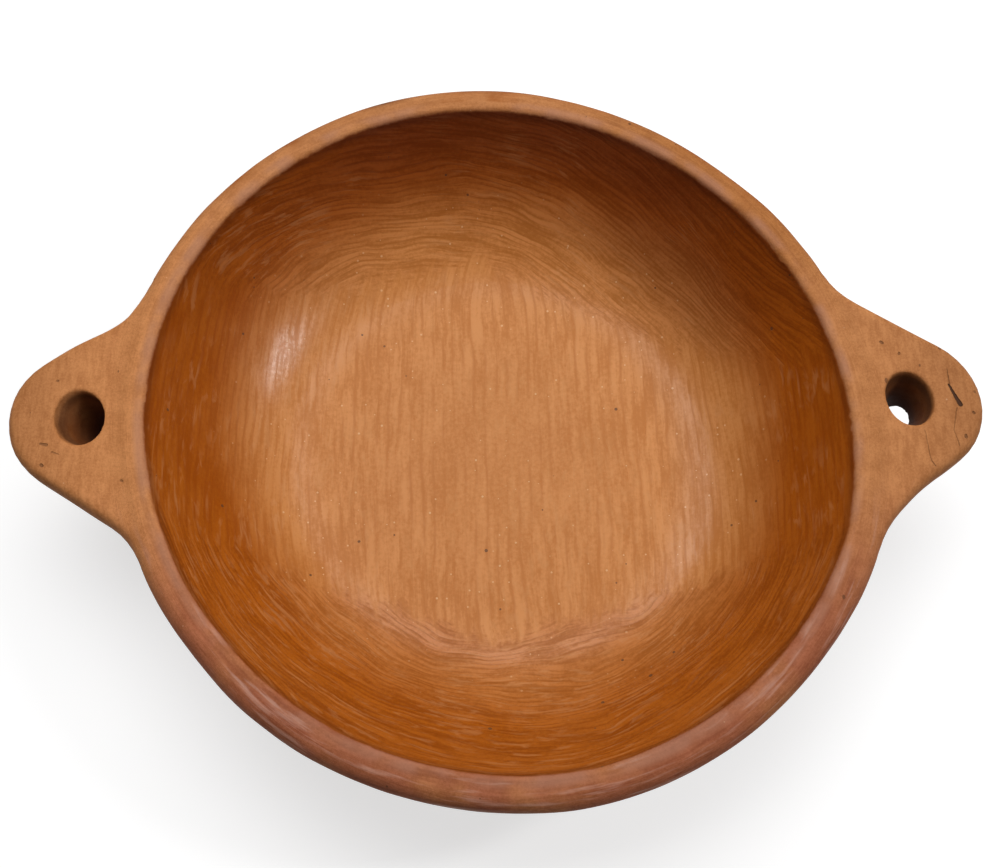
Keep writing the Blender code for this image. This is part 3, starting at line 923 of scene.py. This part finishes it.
def new_material(name):
    made = bpy.data.materials.new(name)
    made.use_nodes = True
    tree = made.node_tree
    return made, tree.nodes["Principled BSDF"], add_node(tree, "ShaderNodeTexCoord")["Object"]


def blend_surfaces(share, first, second):
    """Mix two surfaces' colour, roughness, relief and gloss."""
    kinds = ("RGBA", "FLOAT", "FLOAT", "FLOAT")
    return tuple(mix(share, low, high, kind) for low, high, kind in zip(first, second, kinds))


def finish_surface(shader, mixed):
    colour, rough, relief, gloss = mixed
    bump = add_node(shader.id_data, "ShaderNodeBump", {"Strength": 1.0, "Distance": 1.0, "Height": relief})
    put(shader, {"Base Color": colour, "Roughness": rough, "Coat Weight": gloss, "Normal": bump["Normal"],
                 "Metallic": 0.0, "Coat Roughness": COAT_ROUGHNESS, "Specular IOR Level": SPECULAR_LEVEL})


def body_material(context):
    """Floor and wall coils: burnished inside, fired outside."""
    if "burnished_body" in bpy.data.materials:
        return bpy.data.materials["burnished_body"]
    size = context.scene.dish_sizes
    colours = context.scene.dish_colours
    made, shader, vector = new_material("burnished_body")
    where = use(place_group(size), vector)
    inside = tuple(use(slip_group(size, colours), vector))
    outside = tuple(use(outside_group(size, colours), vector))
    share = ramp(where["Depth"], 0.003, 0.005)
    finish_surface(shader, blend_surfaces(share, inside, outside))
    return made


def lip_material(context, name):
    """Rim or lugs: bare clay above, slip inside up to a ragged edge, fired slip outside and below."""
    if name in bpy.data.materials:
        return bpy.data.materials[name]
    size = context.scene.dish_sizes
    colours = context.scene.dish_colours
    made, shader, vector = new_material(name)
    where = use(place_group(size), vector)
    height, depth = where["Height"], where["Depth"]
    bare, *rest = use(clay_group(size, colours), vector)
    outside = tuple(use(outside_group(size, colours), vector))
    waved = noise(vector, 60.0)
    drop = onto(height, swing(waved), 0.006)
    drop = minus(drop, ramp(where["Y"], -0.02, 0.10, 0.0, 0.0055))
    below = times(ramp(drop, 0.0570, 0.0535), ramp(depth, 0.004, 0.006))
    if name == "bare_lip":
        slip, *slip_rest = use(slip_group(size, colours), vector)
        torn = swing(noise(vector, 420.0, 3.0, 0.65))
        chipped = ramp(noise(shifted(vector, (0.3, 0.1, 0.7)), 110.0), 0.62, 0.72)
        edge = onto(onto(height, torn, 1.0 * MM), swing(waved), 1.6 * MM)
        edge = onto(edge, chipped, 0.6 * MM)
        slipped = times(ramp(edge, 0.0615, 0.0600), ramp(depth, 0.005, 0.004))
        slip = mix(ramp(height, 0.0565, 0.0600), slip, tint(slip, LIP_SHADE))
        # Pale rubbed inner edge of the lip, partly a painted highlight
        rubbed = times(ramp(where["Radius"], 0.1290, 0.1262), ramp(waved, 0.35, 0.60))
        bare = mix(times(rubbed, 0.5), bare, LIP_RUBBED_AND_SHEEN)
        mixed = blend_surfaces(slipped, (bare, *rest), (slip, *slip_rest))
    else:
        marks = use(marks_and_hole_shade_group(size), vector)
        colour = mix(marks["Mark"], bare, MARK_DARK)
        colour = mix(marks["Hole"], colour, tint(colour, HOLE_SHADE))
        rough, relief, gloss = rest
        mixed = (colour, rough, plus(relief, marks["Relief"]), gloss)
        below = times(below, minus(1.0, marks["Hole"]))
    finish_surface(shader, blend_surfaces(below, mixed, outside))
    return made


# Operators

class DISH_OT_floor(bpy.types.Operator):
    """Model the floor slab"""
    bl_idname = "dish.model_floor"
    bl_label = "Floor"

    def execute(self, context):
        size = context.scene.dish_sizes
        piece = spun("dish_floor", slab_section(size))
        press_oval(size, piece)
        work_by_hand(size, piece)
        finish_piece(piece, "floor_slab", body_material(context))
        return {"FINISHED"}


class DISH_OT_wall(bpy.types.Operator):
    """Model the wall coils"""
    bl_idname = "dish.model_wall"
    bl_label = "Wall"

    def execute(self, context):
        size = context.scene.dish_sizes
        seams = seam_lengths(size)
        for node, bottom, top in zip(WALL_COILS, seams, seams[1:]):
            piece = spun("dish_" + node, coil_section(size, bottom, top))
            press_oval(size, piece)
            work_by_hand(size, piece)
            finish_piece(piece, node, body_material(context))
        return {"FINISHED"}


class DISH_OT_rim(bpy.types.Operator):
    """Model the rim coil with a seat for each lug"""
    bl_idname = "dish.model_rim"
    bl_label = "Rim"

    def execute(self, context):
        size = context.scene.dish_sizes
        piece = spun("dish_rim", rim_section(size))
        seat = size.mouth_radius + size.rim_width - size.lug_seat
        block = [(seat, 0.0), (CAD_HIGH.x, 0.0), (CAD_HIGH.x, CAD_HIGH.x), (seat, CAD_HIGH.x)]
        steps = round(AROUND * size.lug_spread / math.pi)
        for node, bearing in LUGS:
            cut(piece, spun("seat_" + node, block, bearing - size.lug_spread, 2.0 * size.lug_spread, steps))
        press_oval(size, piece)
        work_by_hand(size, piece)
        finish_piece(piece, "rim_coil", lip_material(context, "bare_lip"))
        return {"FINISHED"}


class DISH_OT_lugs(bpy.types.Operator):
    """Model the lugs from their solids, luted into the rim and smoothed over"""
    bl_idname = "dish.model_lugs"
    bl_label = "Lugs"

    def execute(self, context):
        size = context.scene.dish_sizes
        steps = round(AROUND * size.lug_spread / math.pi) + LUG_MARGIN
        wide = math.pi * steps / AROUND
        for node, bearing in LUGS:
            piece = self.luted(size, node, bearing, wide, steps)
            seat = spun("seat", seat_section(size), bearing - wide, 2.0 * wide, steps)
            press_oval(size, seat)
            cut(piece, seat)
            places = points_of(piece)
            keep_linked(piece, int(np.argmax(np.hypot(places[:, 0], places[:, 1]))))
            for way, side in ((bearing + size.lug_spread, 1.0), (bearing - size.lug_spread, -1.0)):
                slice_off(piece, (0.0, 0.0, 0.0), (-side * math.sin(way), side * math.cos(way), 0.0))
            press_flanks(size, piece)
            work_by_hand(size, piece)
            finish_piece(piece, node, lip_material(context, "bare_lug"))
        return {"FINISHED"}

    def luted(self, size, node, bearing, wide, steps):
        """The lug and the stretch of wall behind it, joined and smoothed into one surface."""
        only(frame["nodes"][node])
        bpy.ops.object.duplicate()
        piece = bpy.context.object
        piece.parent = None
        self.seat_deeper(size, piece)
        clean(piece)
        seams = seam_lengths(size)
        parts = [piece]
        behind = rim_section(size)
        below = coil_section(size, seams[1], seams[3])
        for name, section in (("behind", behind), ("below", below)):
            parts.append(spun(name, section, bearing - wide, 2.0 * wide, steps))
            press_oval(size, parts[-1])
        bpy.ops.object.select_all(action="DESELECT")
        for part in parts:
            part.select_set(True)
        bpy.context.view_layer.objects.active = piece
        bpy.ops.object.join()
        piece.name = "dish_" + node
        piece.data.name = piece.name
        for key in list(piece.keys()):
            if key.startswith("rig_"):
                del piece[key]
        add_modifier(piece, "REMESH", mode="VOXEL", voxel_size=size.lug_grain, use_smooth_shade=True)
        add_modifier(piece, "SMOOTH", factor=0.5, iterations=LUTING_PASSES)
        return piece

    def seat_deeper(self, size, piece):
        """Let the seated side of the lug into the wall, past the luting gap."""
        places = points_of(piece)
        radius = np.hypot(places[:, 0], places[:, 1])
        true_radius = radius / oval_stretch(size, np.arctan2(places[:, 1], places[:, 0]))
        seat = size.mouth_radius + size.rim_width - size.lug_seat / 2.0
        places[true_radius < seat, :2] *= 1.0 - SEAT_DEEPER
        move_points(piece, places)


class DISH_OT_stage(bpy.types.Operator):
    """Set the floor, the lights and the camera"""
    bl_idname = "dish.set_stage"
    bl_label = "Stage"

    def execute(self, context):
        self.floor()
        self.lights(context)
        self.camera(context)
        context.scene.view_settings.view_transform = "Standard"
        return {"FINISHED"}

    def floor(self):
        bpy.ops.object.select_all(action="DESELECT")
        bpy.ops.mesh.primitive_plane_add(size=STAGE_SIZE)
        floor = bpy.context.object
        floor.name = "stage_floor"
        made, shader, vector = new_material("white_floor")
        tree = made.node_tree
        tree.nodes.remove(shader)
        path = add_node(tree, "ShaderNodeLightPath")
        seen = calc("MAXIMUM", path["Is Camera Ray"],
                    calc("MAXIMUM", path["Is Glossy Ray"], path["Is Transmission Ray"]))
        strength = times(seen, ramp(vector_calc("LENGTH", vector), *STAGE_GLOW))
        diffuse = add_node(tree, "ShaderNodeBsdfDiffuse", {"Color": STAGE_GREY})
        glow = add_node(tree, "ShaderNodeEmission", {"Color": WHITE, "Strength": strength})
        both = add_node(tree, "ShaderNodeAddShader", {0: diffuse[0], 1: glow[0]})
        put(tree.nodes["Material Output"], {"Surface": both[0]})
        floor.data.materials.append(made)

    def lamp(self, name, direction, distance, wide, tall, power):
        way = Vector(direction).normalized()
        bpy.ops.object.light_add(type="AREA", location=way * distance + Vector((0.0, 0.0, CAD_HIGH.z)))
        lamp = bpy.context.object
        lamp.name = name
        lamp.data.shape = "RECTANGLE"
        lamp.data.size = wide
        lamp.data.size_y = tall
        lamp.data.energy = power
        lamp.data.color = WHITE
        lamp.rotation_mode = "QUATERNION"
        lamp.rotation_quaternion = way.to_track_quat("Z", "Y")

    def lights(self, context):
        world = bpy.data.worlds.new("studio")
        context.scene.world = world
        world.use_nodes = True
        seen = add_node(world.node_tree, "ShaderNodeLightPath")["Is Camera Ray"]
        strength = onto(WORLD_LIGHT, seen, 1.0 - WORLD_LIGHT)
        put(world.node_tree.nodes["Background"], {"Color": WHITE, "Strength": strength})
        for softbox in SOFTBOXES:
            self.lamp(*softbox)

    def camera(self, context):
        bpy.ops.object.camera_add(location=CAMERA_PLACE)
        camera = bpy.context.object
        camera.name = "photo_camera"
        camera.data.sensor_width = CAMERA_SENSOR
        camera.data.lens = CAMERA_LENS
        camera.data.clip_start = CAMERA_CLIP
        target = Vector(CAMERA_TARGET)
        camera.rotation_mode = "QUATERNION"
        camera.rotation_quaternion = (target - camera.location).to_track_quat("-Z", "Y")
        context.scene.camera = camera


class DISH_PT_panel(bpy.types.Panel):
    """Lists the steps that make the dish"""
    bl_idname = "DISH_PT_panel"
    bl_label = "Dish"
    bl_space_type = "VIEW_3D"
    bl_region_type = "UI"
    bl_category = "Dish"

    def draw(self, context):
        for step in STEPS:
            self.layout.operator(step)
        for group in (context.scene.dish_sizes, context.scene.dish_colours):
            for name in group.__annotations__:
                self.layout.prop(group, name)


STEPS = ("dish.model_floor", "dish.model_wall", "dish.model_rim", "dish.model_lugs", "dish.set_stage")
CLASSES = (DishSizes, DishColours, DISH_OT_floor, DISH_OT_wall, DISH_OT_rim, DISH_OT_lugs, DISH_OT_stage,
           DISH_PT_panel)


def register():
    for kind in CLASSES:
        bpy.utils.register_class(kind)
    bpy.types.Scene.dish_sizes = bpy.props.PointerProperty(type=DishSizes)
    bpy.types.Scene.dish_colours = bpy.props.PointerProperty(type=DishColours)


def unregister():
    del bpy.types.Scene.dish_colours
    del bpy.types.Scene.dish_sizes
    for kind in reversed(CLASSES):
        bpy.utils.unregister_class(kind)


def main():
    register()
    bpy.ops.dish.model_floor()
    bpy.ops.dish.model_wall()
    bpy.ops.dish.model_rim()
    bpy.ops.dish.model_lugs()
    bpy.ops.dish.set_stage()


if __name__ == "__main__":
    main()
